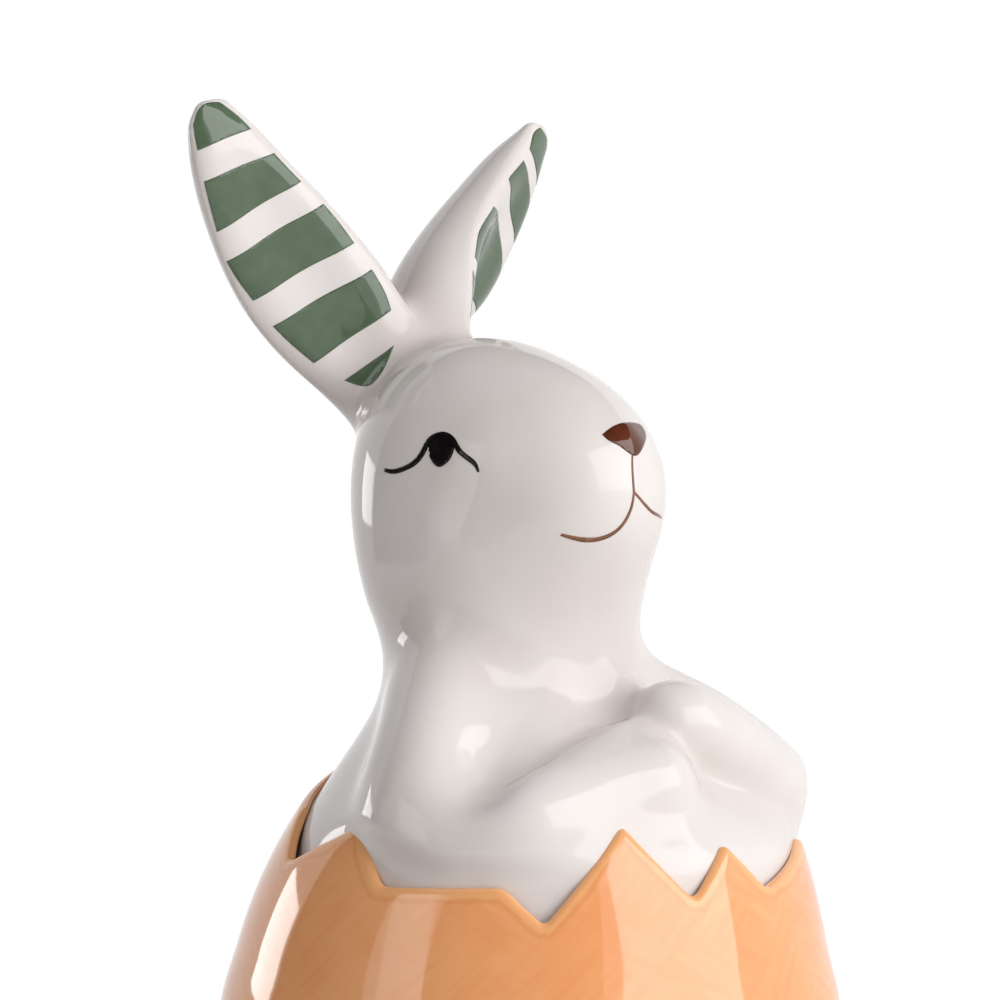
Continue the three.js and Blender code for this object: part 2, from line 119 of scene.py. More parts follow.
# glazes
whiteGlaze = {
    "colour": (0.80, 0.755, 0.735, 1), "deep": (0.66, 0.57, 0.535, 1),  # thin glaze; glaze pooled in hollows, darkened there also as painted shade in the creases
    "roughness": 0.07, "gloss": 0.32, "cloud": 26, "wave": 16, "waveHeight": 0.05,
}
eggGlaze = {
    "colour": (0.92, 0.365, 0.142, 1), "pale": (0.96, 0.45, 0.20, 1), "shadeLine": (0.78, 0.28, 0.09, 1),
    # the inside colour is darker as painted shade within the shell
    "edge": (0.94, 0.47, 0.20, 1), "inside": (0.62, 0.25, 0.09, 1), "roughness": 0.06, "glossIndex": 1.6,
    "edgeBand": 0.8, "edgeShare": 0.75,  # a lighter band on the edge, partly thin glaze and partly a painted highlight on the lip, and a darker line under it as painted shade
    "lineFrom": 0.7, "lineTo": 1.6, "lineStrength": 0.3, "ragged": 5, "raggedBy": 1.4,
    "strokeSlants": (42, -28), "strokeFine": 1.6, "strokeLong": 11, "strokePatch": 16, "strokeRadius": 52,
    "cloud": 30, "cloudShare": 0.65, "wave": 20, "waveHeight": 0.085,
}
enamels = {
    "sageEnamel": {"colour": (0.086, 0.130, 0.077, 1), "pale": (0.104, 0.153, 0.093, 1),
                   "roughness": 0.07, "gloss": 0.5},
    "blackEnamel": {"colour": (0.006, 0.005, 0.005, 1), "pale": (0.016, 0.014, 0.013, 1),
                    "roughness": 0.06, "gloss": 0.25},
    "brownEnamel": {"colour": (0.085, 0.018, 0.007, 1), "pale": (0.13, 0.032, 0.014, 1),
                    "roughness": 0.06, "gloss": 0.5},
    "brownLine": {"colour": (0.19, 0.078, 0.042, 1), "pale": (0.28, 0.125, 0.07, 1),
                  "roughness": 0.08, "gloss": 0.4},
}
enamelSkin = {"streak": 4, "wave": 5, "waveHeight": 0.01}


def startMaterial(name):
    material = bpy.data.materials.new(name)
    material.use_nodes = True
    tree = material.node_tree
    shader = tree.nodes["Principled BSDF"]
    shader.inputs["IOR"].default_value = 1.5
    where = addNode(tree, "ShaderNodeTexCoord").outputs["Object"]
    return material, tree, shader, where


def noise(tree, where, size, detail=2.0, rough=0.5):  # size of one blotch in millimetres
    node = addNode(tree, "ShaderNodeTexNoise")
    fill(tree, node.inputs["Vector"], where)
    node.inputs["Scale"].default_value = 1 / (size * mm)
    node.inputs["Detail"].default_value = detail
    node.inputs["Roughness"].default_value = rough
    return node.outputs["Fac"]


def waves(tree, shader, height, depth):  # gentle unevenness of a poured glaze
    bump = addNode(tree, "ShaderNodeBump")
    bump.inputs["Strength"].default_value = 1
    bump.inputs["Distance"].default_value = depth * mm
    fill(tree, bump.inputs["Height"], height)
    tree.links.new(bump.outputs["Normal"], shader.inputs["Normal"])


def makeWhiteGlaze():
    material, tree, shader, where = startMaterial("whiteGlaze")
    cloud = ramp(tree, noise(tree, where, whiteGlaze["cloud"], 3), 0.35, 0.75, 0.0, 0.25)
    # darker in hollows and creases: pooled glaze, and painted shade
    pooledGlazeAndShade = addNode(tree, "ShaderNodeAttribute", attribute_name="pooledGlazeAndShade").outputs["Fac"]
    share = calc(tree, "MINIMUM", calc(tree, "ADD", cloud, pooledGlazeAndShade), 1.0)
    colour = mixColour(tree, share, whiteGlaze["colour"], whiteGlaze["deep"])
    tree.links.new(colour, shader.inputs["Base Color"])
    shader.inputs["Roughness"].default_value = whiteGlaze["roughness"]
    shader.inputs["Specular IOR Level"].default_value = whiteGlaze["gloss"]
    waves(tree, shader, noise(tree, where, whiteGlaze["wave"], 1), whiteGlaze["waveHeight"])
    return material


def brushStrokes(tree, where, slant):  # short fine strokes that climb round the egg
    sums = partial(calc, tree)
    axes = addNode(tree, "ShaderNodeSeparateXYZ", where).outputs
    front = sums("MULTIPLY", axes["Y"], -1.0)
    angle = sums("ARCTAN2", axes["X"], front)  # its jump lies at the back
    around = sums("MULTIPLY", angle, eggGlaze["strokeRadius"] * mm)
    c, s = math.cos(math.radians(slant)), math.sin(math.radians(slant))
    along = sums("MULTIPLY_ADD", axes["Z"], s, sums("MULTIPLY", around, c))
    across = sums("MULTIPLY_ADD", axes["Z"], c, sums("MULTIPLY", around, -s))
    flat = addNode(tree, "ShaderNodeCombineXYZ", sums("DIVIDE", along, eggGlaze["strokeLong"] * mm),
                   sums("DIVIDE", across, eggGlaze["strokeFine"] * mm)).outputs[0]
    strokes = addNode(tree, "ShaderNodeTexNoise")
    fill(tree, strokes.inputs["Vector"], flat)
    strokes.inputs["Scale"].default_value = 1
    strokes.inputs["Detail"].default_value = 3
    return strokes.outputs["Fac"]


def makeEggGlaze():
    material, tree, shader, where = startMaterial("apricotGlaze")
    sums = partial(calc, tree)
    first, second = (brushStrokes(tree, where, slant) for slant in eggGlaze["strokeSlants"])
    patch = ramp(tree, noise(tree, where, eggGlaze["strokePatch"], 1), 0.4, 0.6)  # which strokes show here
    strokes = addNode(tree, "ShaderNodeMix", patch, None, first, second).outputs[0]
    cloud, clouded = noise(tree, where, eggGlaze["cloud"], 3), eggGlaze["cloudShare"]
    share = sums("MULTIPLY_ADD", cloud, clouded, sums("MULTIPLY", strokes, 1 - clouded))
    colour = mixColour(tree, ramp(tree, share, 0.34, 0.66), eggGlaze["colour"], eggGlaze["pale"])
    stray = sums("SUBTRACT", noise(tree, where, eggGlaze["ragged"], 2), 0.5)
    below = addNode(tree, "ShaderNodeAttribute", attribute_name="edge").outputs["Fac"]
    edge = sums("ADD", below, sums("MULTIPLY", stray, eggGlaze["raggedBy"]))
    # painted shade: a darker line a little below the lip
    low, high = eggGlaze["lineFrom"], eggGlaze["lineTo"]
    starts = ramp(tree, edge, low - 0.4, low + 0.2)
    line = sums("MULTIPLY", starts, ramp(tree, edge, low + 0.4, high, 1.0, 0.0))
    colour = mixColour(tree, sums("MULTIPLY", line, eggGlaze["lineStrength"]), colour, eggGlaze["shadeLine"])
    # lighter band on the lip: thin glaze, and partly a painted highlight
    band = ramp(tree, edge, 0.2, eggGlaze["edgeBand"], eggGlaze["edgeShare"], 0.0)
    colour = mixColour(tree, band, colour, eggGlaze["edge"])
    # inner face of the shell darkened: painted shade inside the egg
    inner = addNode(tree, "ShaderNodeAttribute", attribute_name="inner").outputs["Fac"]
    colour = mixColour(tree, inner, colour, eggGlaze["inside"])
    tree.links.new(colour, shader.inputs["Base Color"])
    shader.inputs["Roughness"].default_value = eggGlaze["roughness"]
    shader.inputs["IOR"].default_value = eggGlaze["glossIndex"]
    waves(tree, shader, noise(tree, where, eggGlaze["wave"], 1), eggGlaze["waveHeight"])
    return material


def makeEnamel(name):
    enamel = enamels[name]
    material, tree, shader, where = startMaterial(name)
    share = ramp(tree, noise(tree, where, enamelSkin["streak"], 3), 0.35, 0.7)
    tree.links.new(mixColour(tree, share, enamel["colour"], enamel["pale"]), shader.inputs["Base Color"])
    shader.inputs["Roughness"].default_value = enamel["roughness"]
    shader.inputs["Specular IOR Level"].default_value = enamel["gloss"]
    waves(tree, shader, noise(tree, where, enamelSkin["wave"], 1), enamelSkin["waveHeight"])
    return material


materials = {name: makeEnamel(name) for name in enamels}
materials["whiteGlaze"] = makeWhiteGlaze()
materials["apricotGlaze"] = makeEggGlaze()
print("glazes mixed:", len(materials))


# forms of the hare: each gives how far points lie outside it
def softCurve(stations):  # natural cubic curve through (place, value) pairs, level beyond its ends
    at, value = np.array(stations, float).T
    step = np.diff(at)
    count = len(at)
    grid, side = np.eye(count), np.zeros(count)
    for i in range(1, count - 1):
        grid[i, i - 1:i + 2] = step[i - 1], 2 * (step[i - 1] + step[i]), step[i]
        side[i] = 6 * ((value[i + 1] - value[i]) / step[i] - (value[i] - value[i - 1]) / step[i - 1])
    bend = np.linalg.solve(grid, side)

    def curve(x):
        x = np.clip(x, at[0], at[-1])
        i = np.clip(np.searchsorted(at, x) - 1, 0, count - 2)
        low, high, span = at[i + 1] - x, x - at[i], step[i]
        cubic = (bend[i] * low ** 3 + bend[i + 1] * high ** 3) / (6 * span)
        start, end = (value[j] / span - bend[j] * span / 6 for j in (i, i + 1))
        return cubic + start * low + end * high
    return curve


def softJoin(a, b, blend):  # union with a round valley
    lap = np.maximum(blend - np.abs(a - b), 0)
    return np.minimum(a, b) - lap ** 3 / (6 * blend ** 2)


def softCut(a, b, blend):
    return -softJoin(-a, b, blend)


def ball(p, at, radii):
    q = p - np.array(at, float)
    r = np.array(radii, float)
    share = np.linalg.norm(q / r, axis=-1)
    return share * (share - 1) / (np.linalg.norm(q / r ** 2, axis=-1) + 1e-9)


def turning(degrees, axis):
    c, s = math.cos(math.radians(degrees)), math.sin(math.radians(degrees))
    return np.array([[1, 0, 0], [0, c, -s], [0, s, c]] if axis == "x" else [[c, -s, 0], [s, c, 0], [0, 0, 1]])


trunk = {  # (height, radius) and (height, middle towards the back)
    "radii": [(76, 48.4), (84, 46.2), (90, 43.9), (96, 40.7), (102, 35.5), (108, 30.4), (116, 24.4),
              (124, 21.3), (134, 21.3)],
    "middles": [(76, 0), (92, 0), (100, 1), (108, 2.5), (116, 4.2), (124, 5.8), (134, 7.2)],
    "aside": [(76, 0.3), (84, 0.9), (92, 1.3), (100, 0.5), (108, 0), (116, 0)],  # how far it leans
    "leanWay": (0.819, -0.574), "top": 134, "reach": 26, "foot": 80,  # it leans the way the egg does
    "belly": ((2, -14, 90), (36, 29.5, 17)), "bellyBelow": 140,  # far enough up to fade out
    # place, depth and reach of the hollow over the right forearm, deepest by the left paw; below 0 it swells
    "hollow": [((0.8, -20.5, 118.4), 2.4, 5.5), ((-7.9, -23.1, 115.2), 1.5, 5),
               ((-15.2, -24.2, 112.1), 1.3, 5), ((-22.2, -25.0, 108.8), 1.1, 5),
               ((-28.7, -26.6, 106.3), 1.8, 5.5), ((-23.1, -19.5, 110.8), 1.0, 6),
               ((-25.5, -33.7, 104.5), -1.5, 9)],
    "overhang": [(76, 0.4), (86, 0.5), (90, 1.6), (94, 5), (97, 11), (100, 20)],  # swelling the shell allows
    "overhangBlend": 7, "rise": 5, "riseFrom": -46, "riseTo": -84, "riseFade": 40,  # it is higher here
}
head = {  # balls as middle and radii, in a frame of the head's own
    "at": (0, 6.5, 153), "turn": 10, "tilt": 24,
    "cranium": ((0, 3.5, 5.9), (21.5, 22.0, 22.6)),
    "muzzle": ((0, -16.7, -5.1), (13.0, 12.6, 13.5)),
    "bridge": ((0, -9.0, 2.6), (11.5, 13.5, 12.0)),
    # soft swellings by each eye, on each cheek, under the nose and on each jaw: place, height and reach
    "swellings": [((19.1, -13.7, 1.5), 0.9, 6.5), ((22.4, -3.9, -10.8), 0.8, 8), ((0, -30, -2.4), 0.9, 3.4),
                  ((22, 14, -8), 1.7, 10)],
    "faceBlend": 22, "bridgeBlend": 14, "neckBlend": 30,
}
# ears in the head's frame, mirrored for the right ear; widths, depths and turns by share of the length
ear = {
    "right": {
        "root": (1.5, 19, 22.5), "tip": (41, 3.4, 74.3), "faces": 38,
        "outer": [(-0.16, 1.5), (0, 5.8), (0.15, 8.6), (0.3, 11.2), (0.48, 12.6),
                  (0.63, 11.8), (0.77, 9.8), (0.9, 6.6), (0.95, 4.9), (0.98, 3.2), (1, 0.8)],
        "inner": [(-0.16, 1.5), (0, 5.5), (0.15, 9.5), (0.3, 11.8), (0.48, 11.2),
                  (0.63, 9.6), (0.77, 7.7), (0.9, 5.9), (0.95, 4.9), (0.98, 3.6), (1, 0.8)],
        "fronts": [(-0.16, 1.5), (0, 3.8), (0.3, 3.4), (0.7, 3.0), (0.92, 2.2), (1, 0.8)],
        "bow": (0, 0, 0), "curl": 0, "turns": [(0, 15), (0.5, 0), (1, -15)],
    },
    "left": {
        "root": (-0.6, 20.5, 21.5), "tip": (41.8, 3.4, 72.8), "faces": 43,
        "outer": [(-0.16, 1.5), (0, 4.2), (0.15, 6.4), (0.3, 10.2), (0.48, 13.0),
                  (0.63, 12.4), (0.77, 9.6), (0.9, 5.2), (0.95, 3.9), (0.98, 2.9), (1, 0.8)],
        "inner": [(-0.16, 1.5), (0, 7.0), (0.15, 11.5), (0.3, 13.0), (0.48, 11.6),
                  (0.63, 9.6), (0.77, 7.2), (0.9, 5.0), (0.95, 4.2), (0.98, 3.2), (1, 0.8)],
        "fronts": [(-0.16, 1.5), (0, 3.4), (0.15, 3.6), (0.3, 3.6), (0.5, 3.6), (0.7, 2.9), (0.92, 2.2),
                   (1, 0.8)],
        "bow": (-1.3, 0.6, 0.4), "curl": 0.015,
        "turns": [(0, 48), (0.15, 46), (0.3, 38), (0.5, 16), (0.7, 6), (1, -15)],
    },
    "backs": [(-0.16, 1.0), (0, 4.6), (0.15, 8.0), (0.32, 10.8), (0.5, 10.4), (0.75, 7.4), (0.92, 4.2),
              (1, 0.8)],
    "foot": -0.16, "footBend": (45, -95, 0), "bendBelow": 0.15, "bendFrom": -0.25,  # how the foot bends
    "dish": (1.4, 12.5, 9), "dishReach": (0.54, 0.52), "dishAside": -0.5, "dishBlend": 3,
    "between": 14, "blend": 13, "above": 144,
}
arms = {  # joints from shoulder to paw: place and radius
    "right": [(-19.5, -1.5, 119.5, 6), (-27, -9, 110, 7.6), (-30.8, -17.2, 97.8, 8.6),
              (-22.2, -27.6, 99.2, 7.2), (-8.9, -30.6, 104.6, 6.8), (1.5, -33.4, 106.8, 6)],
    "rightWedge": [(-20, -21, 97.5, 5.6), (-13, -25.5, 103.5, 6), (1, -27, 110, 5.8)],  # behind the forearm
    "left": [(12, 4, 122, 3.5), (21.8, 0, 116.8, 4.8), (30.6, -7.2, 112.2, 5.9), (35.4, -18.6, 102.8, 6.9),
             (20.3, -26, 111, 6.4), (10.2, -26.6, 115.8, 6.3)],
    "beads": 34, "melt": 1.0, "shoulderBlend": 18, "rightPaw": 6, "leftPaw": 7, "bellyBlend": 14,
    "pawsFrom": 16, "pawsOver": 14, "below": 146, "before": 24,  # where the paws begin and the arms end
}
bothSides = ("right", "left")
trunkRadius, trunkMiddle, trunkAside = (softCurve(trunk[name]) for name in ("radii", "middles", "aside"))
trunkOverhang = softCurve(trunk["overhang"])
earEdges = ("outer", "inner", "fronts")
earCurves = {side: [softCurve(ear[side][edge]) for edge in earEdges] for side in bothSides}
earTurn = {side: softCurve(ear[side]["turns"]) for side in bothSides}
earBack = softCurve(ear["backs"])
headAxes = turning(head["turn"], "z") @ turning(-head["tilt"], "x")


def bentTube(joints, count):  # places and radii on a soft curve through joints
    joints = np.array(joints, float)
    way = np.concatenate([[0], np.cumsum(np.linalg.norm(np.diff(joints[:, :3], axis=0), axis=1))])
    at = np.linspace(0, way[-1], count)
    return np.stack([softCurve(np.stack([way, joints[:, i]], 1))(at) for i in range(4)], 1)


armBeads = {side: bentTube(arms[side], arms["beads"]) for side in bothSides}
armBeads["right"] = np.concatenate([armBeads["right"], bentTube(arms["rightWedge"], arms["beads"] // 2)])


def earAxes(side):  # root, length and the directions along, across and out of an ear
    root, tip = (np.array(ear[side][end], float) for end in ("root", "tip"))
    length = np.linalg.norm(tip - root)
    along = (tip - root) / length
    faces = math.radians(ear[side]["faces"])
    out = np.array([math.sin(faces), -math.cos(faces), 0])
    out -= along * (out @ along)
    out /= np.linalg.norm(out)
    return root, length, np.stack([along, np.cross(out, along), out], 1)


def mirrored(side):
    return np.array([-1 if side == "right" else 1, 1, 1])


def inHead(p):
    return (p - np.array(head["at"], float)) @ headAxes


def fromHead(h):
    return h @ headAxes.T + np.array(head["at"], float)


def earTwist(along, length, side):  # turn about the ear's length and shift of its middle line
    share = np.clip(along / length, ear["bendFrom"], 1)
    turned = np.radians(earTurn[side](share))
    bent = np.maximum(ear["bendBelow"] - share, 0) ** 2
    bow = 4 * np.maximum(share, 0) * (1 - share)
    footShift = bent[..., None] * np.array(ear["footBend"], float)
    bowShift = bow[..., None] * np.array(ear[side]["bow"], float)
    return np.cos(turned), np.sin(turned), footShift + bowShift


def inEar(h, side):  # distances along, across and out of an ear
    root, length, axes = earAxes(side)
    q = h * mirrored(side) - root
    c, s, shift = earTwist(q @ axes[:, 0], length, side)
    along, across, out = np.moveaxis((q - shift) @ axes, -1, 0)
    across, out = across * c + out * s, out * c - across * s
    return np.stack([along, across, out - ear[side]["curl"] * np.minimum(across, 0) ** 2], -1)


def fromEar(own, side):
    root, length, axes = earAxes(side)
    along, across, out = np.moveaxis(own, -1, 0)
    out = out + ear[side]["curl"] * np.minimum(across, 0) ** 2  # the outer edge curls forwards
    c, s, shift = earTwist(along, length, side)
    turned = np.stack([along, across * c - out * s, out * c + across * s], -1)
    return (turned @ axes.T + shift + root) * mirrored(side)


def trunkForm(p):
    z = p[..., 2]
    lean = trunkAside(z)
    x, y = p[..., 0] - trunk["leanWay"][0] * lean, p[..., 1] - trunkMiddle(z) - trunk["leanWay"][1] * lean
    side = np.hypot(x, y) - trunkRadius(z)
    top = trunk["top"]
    crown = ball(p, (0, trunkMiddle(top), top), (trunkRadius(top), trunkRadius(top), trunk["reach"]))
    return np.where(z > top, crown, side)


def headForm(h):
    skull = softJoin(ball(h, *head["cranium"]), ball(h, *head["muzzle"]), head["faceBlend"])
    skull = softJoin(skull, ball(h, *head["bridge"]), head["bridgeBlend"])
    half = np.stack([np.abs(h[..., 0]), h[..., 1], h[..., 2]], -1)
    for place, height, reach in head["swellings"]:
        skull = skull - height * np.exp(-((half - np.array(place)) ** 2).sum(-1) / reach ** 2)
    return skull


def earForm(h, side):
    length = earAxes(side)[1]
    own = inEar(h, side)
    share, across, out = own[..., 0] / length, own[..., 1], own[..., 2]
    earOuter, earInner, earFront = earCurves[side]
    wide = np.where(across > 0, earInner(share), earOuter(share))
    deep = np.where(out > 0, earFront(share), earBack(share))
    ratio = np.hypot(across / wide, out / deep)
    leaf = ratio * (ratio - 1) / (np.hypot(across / wide ** 2, out / deep ** 2) + 1e-9)
    leaf = np.maximum(leaf, np.maximum(share - 1, ear["foot"] - share) * length)
    low, wideDish, deepDish = ear["dish"]
    middle, reach = ear["dishReach"]
    dishMiddle = (middle * length, ear["dishAside"], low + deepDish)
    return softCut(leaf, ball(own, dishMiddle, (reach * length, wideDish, deepDish)), ear["dishBlend"])


def armForm(p, beads):  # beads along the arm, melted together
    total = 0
    for x, y, z, radius in beads:
        total = total + np.exp((radius - np.linalg.norm(p - np.array((x, y, z)), axis=-1)) / arms["melt"])
    return -arms["melt"] * np.log(total)


def within(p, inside, form):  # a form worked out only where it can matter
    result = np.full(p.shape[:-1], 1e3)
    result[inside] = form(p[inside])
    return result


def hareForm(p):
    x, y, z = np.moveaxis(p, -1, 0)
    form = softJoin(trunkForm(p), headForm(inHead(p)), head["neckBlend"])
    forward = np.clip((-y - arms["pawsFrom"]) / arms["pawsOver"], 0, 1)  # 1 at the paws
    lap = within(p, z < trunk["bellyBelow"], lambda q: ball(q, *trunk["belly"]))
    nearArms = (z < arms["below"]) & (y < arms["before"])
    for side in bothSides:
        arm = within(p, nearArms, lambda q: armForm(q, armBeads[side]))
        arm = softJoin(arm, lap, arms["bellyBlend"])
        blend = arms["shoulderBlend"] + (arms[side + "Paw"] - arms["shoulderBlend"]) * forward
        form = softJoin(form, arm, blend)
    for place, depth, reach in trunk["hollow"]:
        form = form + depth * np.exp(-((p - np.array(place)) ** 2).sum(-1) / reach ** 2)
    low = z < trunk["overhang"][-1][0] + trunk["rise"]
    turn = np.degrees(np.arctan2(x[low], -y[low]))
    share = np.clip((turn - trunk["riseFrom"]) / (trunk["riseTo"] - trunk["riseFrom"]), 0, 1)
    back = np.clip((turn + 180) / trunk["riseFade"], 0, 1)  # no step where the turns meet at the back
    rise = trunk["rise"] * share ** 2 * (3 - 2 * share) * back ** 2 * (3 - 2 * back)
    bound = trunkForm(p[low]) - trunkOverhang(z[low] - rise)
    form[low] = softCut(form[low], -bound, trunk["overhangBlend"])
    ears = [within(p, z > ear["above"], lambda q: earForm(inHead(q), side)) for side in bothSides]
    form = softJoin(form, softJoin(*ears, ear["between"]), ear["blend"])
    return np.maximum(form, trunk["foot"] - z)


def slope(form, p, step=0.02):
    rates = [(form(p + step * axis) - form(p - step * axis)) / (2 * step) for axis in np.eye(3)]
    return np.stack(rates, -1)


def outwards(form, p):
    normal = slope(form, p)
    return normal / np.linalg.norm(normal, axis=-1, keepdims=True)


# one skin over a form: a net of quads, drawn tight onto the surface
net = {
    "step": 0.8, "low": (-62, -54, 76), "high": (62, 58, 224), "tighten": 3, "feel": 5,
    "block": 8, "near": 1.3, "parts": 12,  # fine steps only in blocks near the skin, in a few goes
}


def sampleForm(form):
    step, block = net["step"], net["block"]
    low = np.array(net["low"], float)
    blocks = np.ceil((np.array(net["high"]) - low) / (step * block)).astype(int)
    middles = low + (np.moveaxis(np.indices(blocks), 0, -1) + 0.5) * block * step
    rough = form(middles)
    values = np.kron(rough, np.ones((block, block, block)))
    near = np.argwhere(np.abs(rough) < net["near"] * block * step) * block
    inner = np.indices((block, block, block)).reshape(3, -1).T
    for part in np.array_split(near, net["parts"]):
        at = (part[:, None] + inner).reshape(-1, 3)
        values[tuple(at.T)] = form(low + at * step)
    return low, values


def stretchNet(form):
    low, values = sampleForm(form)
    inside = values < 0
    corners = [np.array((i, j, k)) for i in (0, 1) for j in (0, 1) for k in (0, 1)]
    size = np.array(values.shape) - 1
    window = [tuple(slice(c[i], c[i] + size[i]) for i in range(3)) for c in corners]
    filled = sum(inside[w].astype(int) for w in window)
    cells = np.argwhere((filled > 0) & (filled < 8))
    number = np.full(size, -1)
    number[tuple(cells.T)] = np.arange(len(cells))
    total, count = np.zeros((len(cells), 3)), np.zeros(len(cells))
    for a in corners:
        for axis in range(3):
            if a[axis]:
                continue
            b = a + np.eye(3, dtype=int)[axis]
            start, end = values[tuple((cells + a).T)], values[tuple((cells + b).T)]
            crossed = (start < 0) != (end < 0)
            share = np.where(crossed, start / np.where(crossed, start - end, 1), 0)
            total += np.where(crossed[:, None], a + share[:, None] * (b - a), 0)
            count += crossed
    points = low + (cells + total / count[:, None]) * net["step"]
    faces = []
    for axis in range(3):
        b, c = np.eye(3, dtype=int)[(axis + 1) % 3], np.eye(3, dtype=int)[(axis + 2) % 3]
        ahead = np.eye(3, dtype=int)[axis]
        here = inside[tuple(slice(0, n - d) for n, d in zip(inside.shape, ahead))]
        there = inside[tuple(slice(d, n) for n, d in zip(inside.shape, ahead))]
        at = np.argwhere(here != there)
        quads = np.stack([number[tuple((at - b - c).T)], number[tuple((at - c).T)],
                          number[tuple(at.T)], number[tuple((at - b).T)]], 1)
        leaving = here[tuple(at.T)]
        faces += [quads[leaving], quads[~leaving][:, ::-1]]
    for _ in range(net["tighten"]):
        normal = slope(form, points)
        move = form(points)[:, None] * normal / (normal ** 2).sum(-1, keepdims=True)
        points -= np.clip(move, -net["step"], net["step"])
    return points, np.concatenate(faces)


def addPiece(name, points, faces, material):
    mesh = bpy.data.meshes.new(name)
    mesh.from_pydata((points * mm).tolist(), [], faces)
    mesh.materials.append(materials[material])
    mesh.shade_smooth()
    return addObject(name, mesh)


def settle(piece, slotName, *nodes):
    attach(piece, "root")
    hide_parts(*nodes)


def makeHare():
    points, faces = stretchNet(hareForm)
    normals = outwards(hareForm, points)
    hare = addPiece("hareBody", points, faces.tolist(), "whiteGlaze")
    hare.data.normals_split_custom_set_from_vertices(normals.tolist())
    room = hareForm(points + net["feel"] * normals) / net["feel"]  # under 1 in a hollow, where glaze gathers and where the white is darkened as painted shade
    hare.data.attributes.new("pooledGlazeAndShade", "FLOAT", "POINT").data.foreach_set("value", np.clip(1 - room, 0, 1))
    settle(hare, "white_glaze", "hare_torso", "hare_head", "right_arm", "left_arm", "right_ear", "left_ear")
    print("hare skin:", len(points), "points")


makeHare()


# painted enamel: thin closed layers that follow the skin
paint = {
    "lift": 0.07, "sink": 0.25, "grain": 0.55, "grainRow": 0.87, "edgePoints": 25, "endPoints": 12,
    "reach": 60, "earReach": (12, -2.2), "halvings": 30,  # lines that find the skin, and how closely
}
face = {  # head's frame: eye from the side as (y, z), nose and mouth from the front as (x, z)
    "pupil": [(-6.1, 7.4), (-5.85, 6.1), (-6.1, 4.15), (-6.65, 3.0), (-7.35, 2.35), (-8.35, 2.3),
              (-9.55, 2.8), (-10.4, 3.8), (-10.75, 4.7), (-10.55, 5.9), (-9.35, 7.4), (-7.6, 7.95)],
    "lash": [(3.9, 6.55), (2.2, 5.55), (0.4, 5.05), (-1.4, 4.9), (-3.15, 5.1), (-5.2, 6.55), (-6.3, 7.7),
             (-7.7, 8.0), (-8.85, 7.7), (-10.55, 5.9), (-11.3, 3.95), (-12.6, 1.85), (-13.7, -0.15),
             (-13.75, -1.25)],
    "lashWidths": [0.6, 0.8, 0.9, 0.95, 1.1, 1.15, 1.0, 0.8, 0.7, 0.8, 0.85, 0.8, 0.75, 0.35],
    "nose": [(-5.1, -1.3), (-2.6, -0.15), (0.4, 0.4), (3.8, 0.6), (6.1, 0.1), (5.9, -1.1), (3.7, -3.25),
             (1.4, -5.05), (-0.2, -5.8), (-1.8, -5.05), (-3.3, -3.6), (-4.7, -2.3)],
    "philtrum": [(-0.85, -5.6), (-1.2, -7.4), (-1.4, -9.2), (-1.4, -11.6)],
    "smileRight": [(-1.4, -11.6), (-1.85, -13.8), (-2.75, -15.6), (-4.05, -16.85), (-5.85, -17.45),
                   (-7.9, -17.4), (-10.3, -16.55), (-12.3, -15.35)],
    "smileLeft": [(-1.4, -11.6), (1.0, -13.35), (3.7, -14.55), (6.0, -14.8), (8.1, -14.85)],
    "philtrumWidth": 0.34, "smileWidth": 0.58, "leftShare": 0.8, "startShare": 0.7, "endShare": 0.5,
    "pupilPoints": 48, "nosePoints": 60,
}
stripes = {  # bands up each ear: two edges, as shares of the length from the outer end to the inner end
    "right": {
        "bands": [((0.180, 0.147, 0.1485, 0.1665, 0.190), (0.182, 0.186, 0.192)),
                  ((0.264, 0.266, 0.264), (0.411, 0.398, 0.380)),
                  ((0.499, 0.484, 0.463), (0.628, 0.614, 0.595)),
                  ((0.709, 0.696, 0.678), (0.839, 0.813, 0.783)),
                  ((0.913, 0.895, 0.870), (0.972, 0.996, 0.974))],
        "outer": [(0.12, 1.2), (0.16, 3.2), (0.182, 4.6), (0.264, 7.5), (0.41, 10.2), (0.5, 10.9),
                  (0.63, 11.2), (0.709, 10.1), (0.84, 7.5), (0.913, 5.5), (0.964, 3.8), (0.985, 2.5),
                  (0.996, 1.2)],
        "inner": [(0.12, 1.6), (0.15, 3.6), (0.189, 5.8), (0.264, 8.9), (0.38, 9.9), (0.463, 9.8),
                  (0.595, 8.9), (0.678, 7.6), (0.783, 6.1), (0.87, 4.9), (0.91, 4.4), (0.964, 3.2),
                  (0.985, 2.3), (0.996, 1.2)],
    },
    "left": {
        "bands": [((0.180, 0.145, 0.190), (0.182, 0.186, 0.192)),
                  ((0.264, 0.266, 0.264), (0.411, 0.400, 0.425)),
                  ((0.497, 0.484, 0.470), (0.625, 0.680, 0.658)),
                  ((0.715, 0.745, 0.765), (0.810, 0.843, 0.850)),
                  ((0.868, 0.884, 0.893), (0.982, 0.982, 0.982))],
        "outer": [(0.12, 1.2), (0.16, 3.2), (0.182, 4.6), (0.264, 7.0), (0.41, 10.2), (0.5, 11.4),
                  (0.63, 11.0), (0.709, 9.6), (0.84, 6.4), (0.913, 4.0), (0.964, 2.6), (0.99, 1.2)],
        "inner": [(0.12, 1.6), (0.15, 3.6), (0.189, 6.0), (0.264, 9.5), (0.38, 11.2), (0.43, 11.2),
                  (0.47, 10.4), (0.537, 9.9), (0.6, 8.6), (0.666, 7.0), (0.765, 5.6), (0.85, 3.6),
                  (0.9, 3.1), (0.964, 2.6), (0.99, 1.2)],
    },
}


